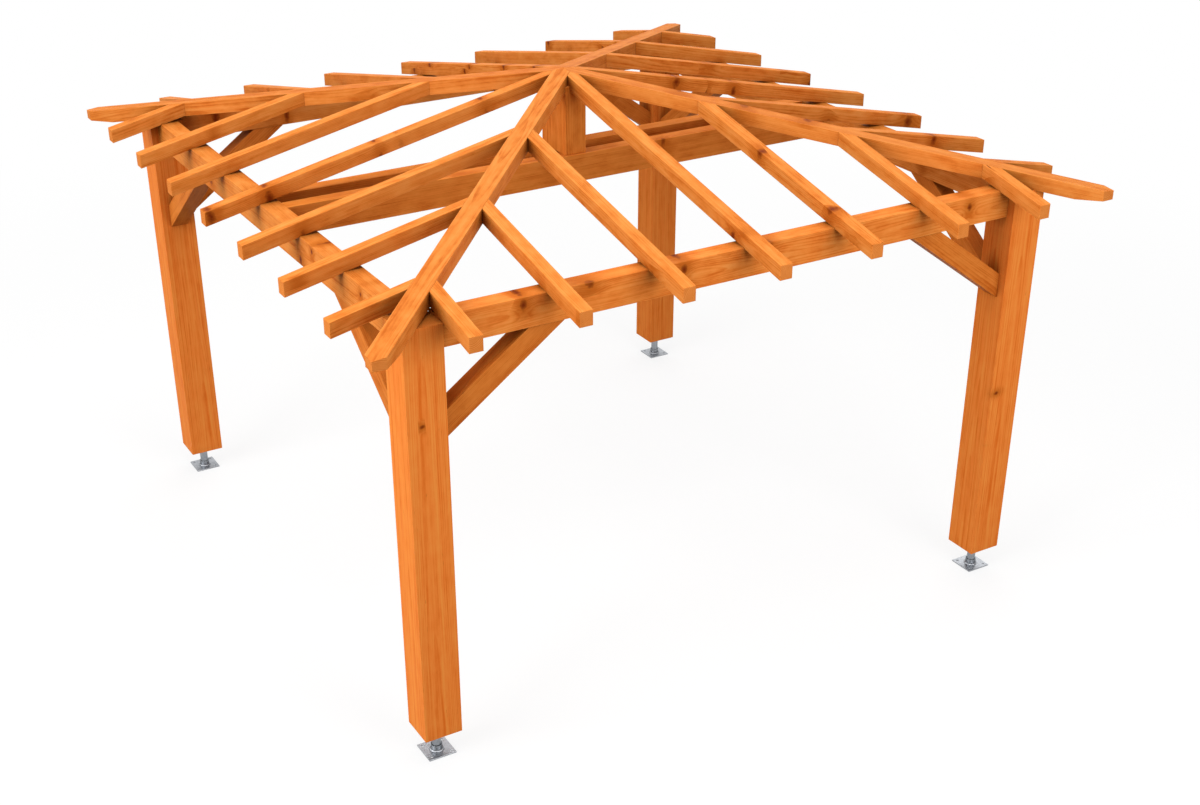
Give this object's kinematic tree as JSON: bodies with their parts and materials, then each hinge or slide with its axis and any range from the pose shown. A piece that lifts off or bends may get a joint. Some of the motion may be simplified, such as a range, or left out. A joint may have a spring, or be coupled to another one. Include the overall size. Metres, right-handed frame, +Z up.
{
  "type": "garden pavilion",
  "caption": "Open square garden pavilion: a stained timber frame with a low hipped roof of bare rafters on corner posts, knee braces and steel feet.",
  "frame": {"origin": "middle of the square plan, on the ground under the foot plates", "axes": "+X to the right along the front, which is parallel to the two tie beams, +Y from front to back, +Z up"},
  "size_m": [4.24, 4.24, 2.8258],
  "materials": {
    "frame_timber": "orange-brown translucent stain over planed softwood with knots",
    "roof_timber": "orange-brown translucent stain over planed softwood with knots",
    "galvanised_steel": "hot-dip galvanised, satin"
  },
  "bodies": {
    "root": {"front_right_foot": "galvanised_steel", "front_right_post": "frame_timber", "front_right_hip": "roof_timber", "back_right_foot": "galvanised_steel", "back_right_post": "frame_timber", "back_right_hip": "roof_timber", "back_left_foot": "galvanised_steel", "back_left_post": "frame_timber", "back_left_hip": "roof_timber", "front_left_foot": "galvanised_steel", "front_left_post": "frame_timber", "front_left_hip": "roof_timber", "front_beam": "frame_timber", "front_brace_left": "frame_timber", "front_brace_right": "frame_timber", "front_common_rafter": "roof_timber", "front_jack_rafters_long": "roof_timber", "front_jack_rafters_middle": "roof_timber", "front_jack_rafters_short": "roof_timber", "right_beam": "frame_timber", "right_brace_left": "frame_timber", "right_brace_right": "frame_timber", "right_common_rafter": "roof_timber", "right_jack_rafters_long": "roof_timber", "right_jack_rafters_middle": "roof_timber", "right_jack_rafters_short": "roof_timber", "back_beam": "frame_timber", "back_brace_left": "frame_timber", "back_brace_right": "frame_timber", "back_common_rafter": "roof_timber", "back_jack_rafters_long": "roof_timber", "back_jack_rafters_middle": "roof_timber", "back_jack_rafters_short": "roof_timber", "left_beam": "frame_timber", "left_brace_left": "frame_timber", "left_brace_right": "frame_timber", "left_common_rafter": "roof_timber", "left_jack_rafters_long": "roof_timber", "left_jack_rafters_middle": "roof_timber", "left_jack_rafters_short": "roof_timber", "front_tie": "frame_timber", "back_tie": "frame_timber", "king_post": "frame_timber"}
  },
  "joints": []
}
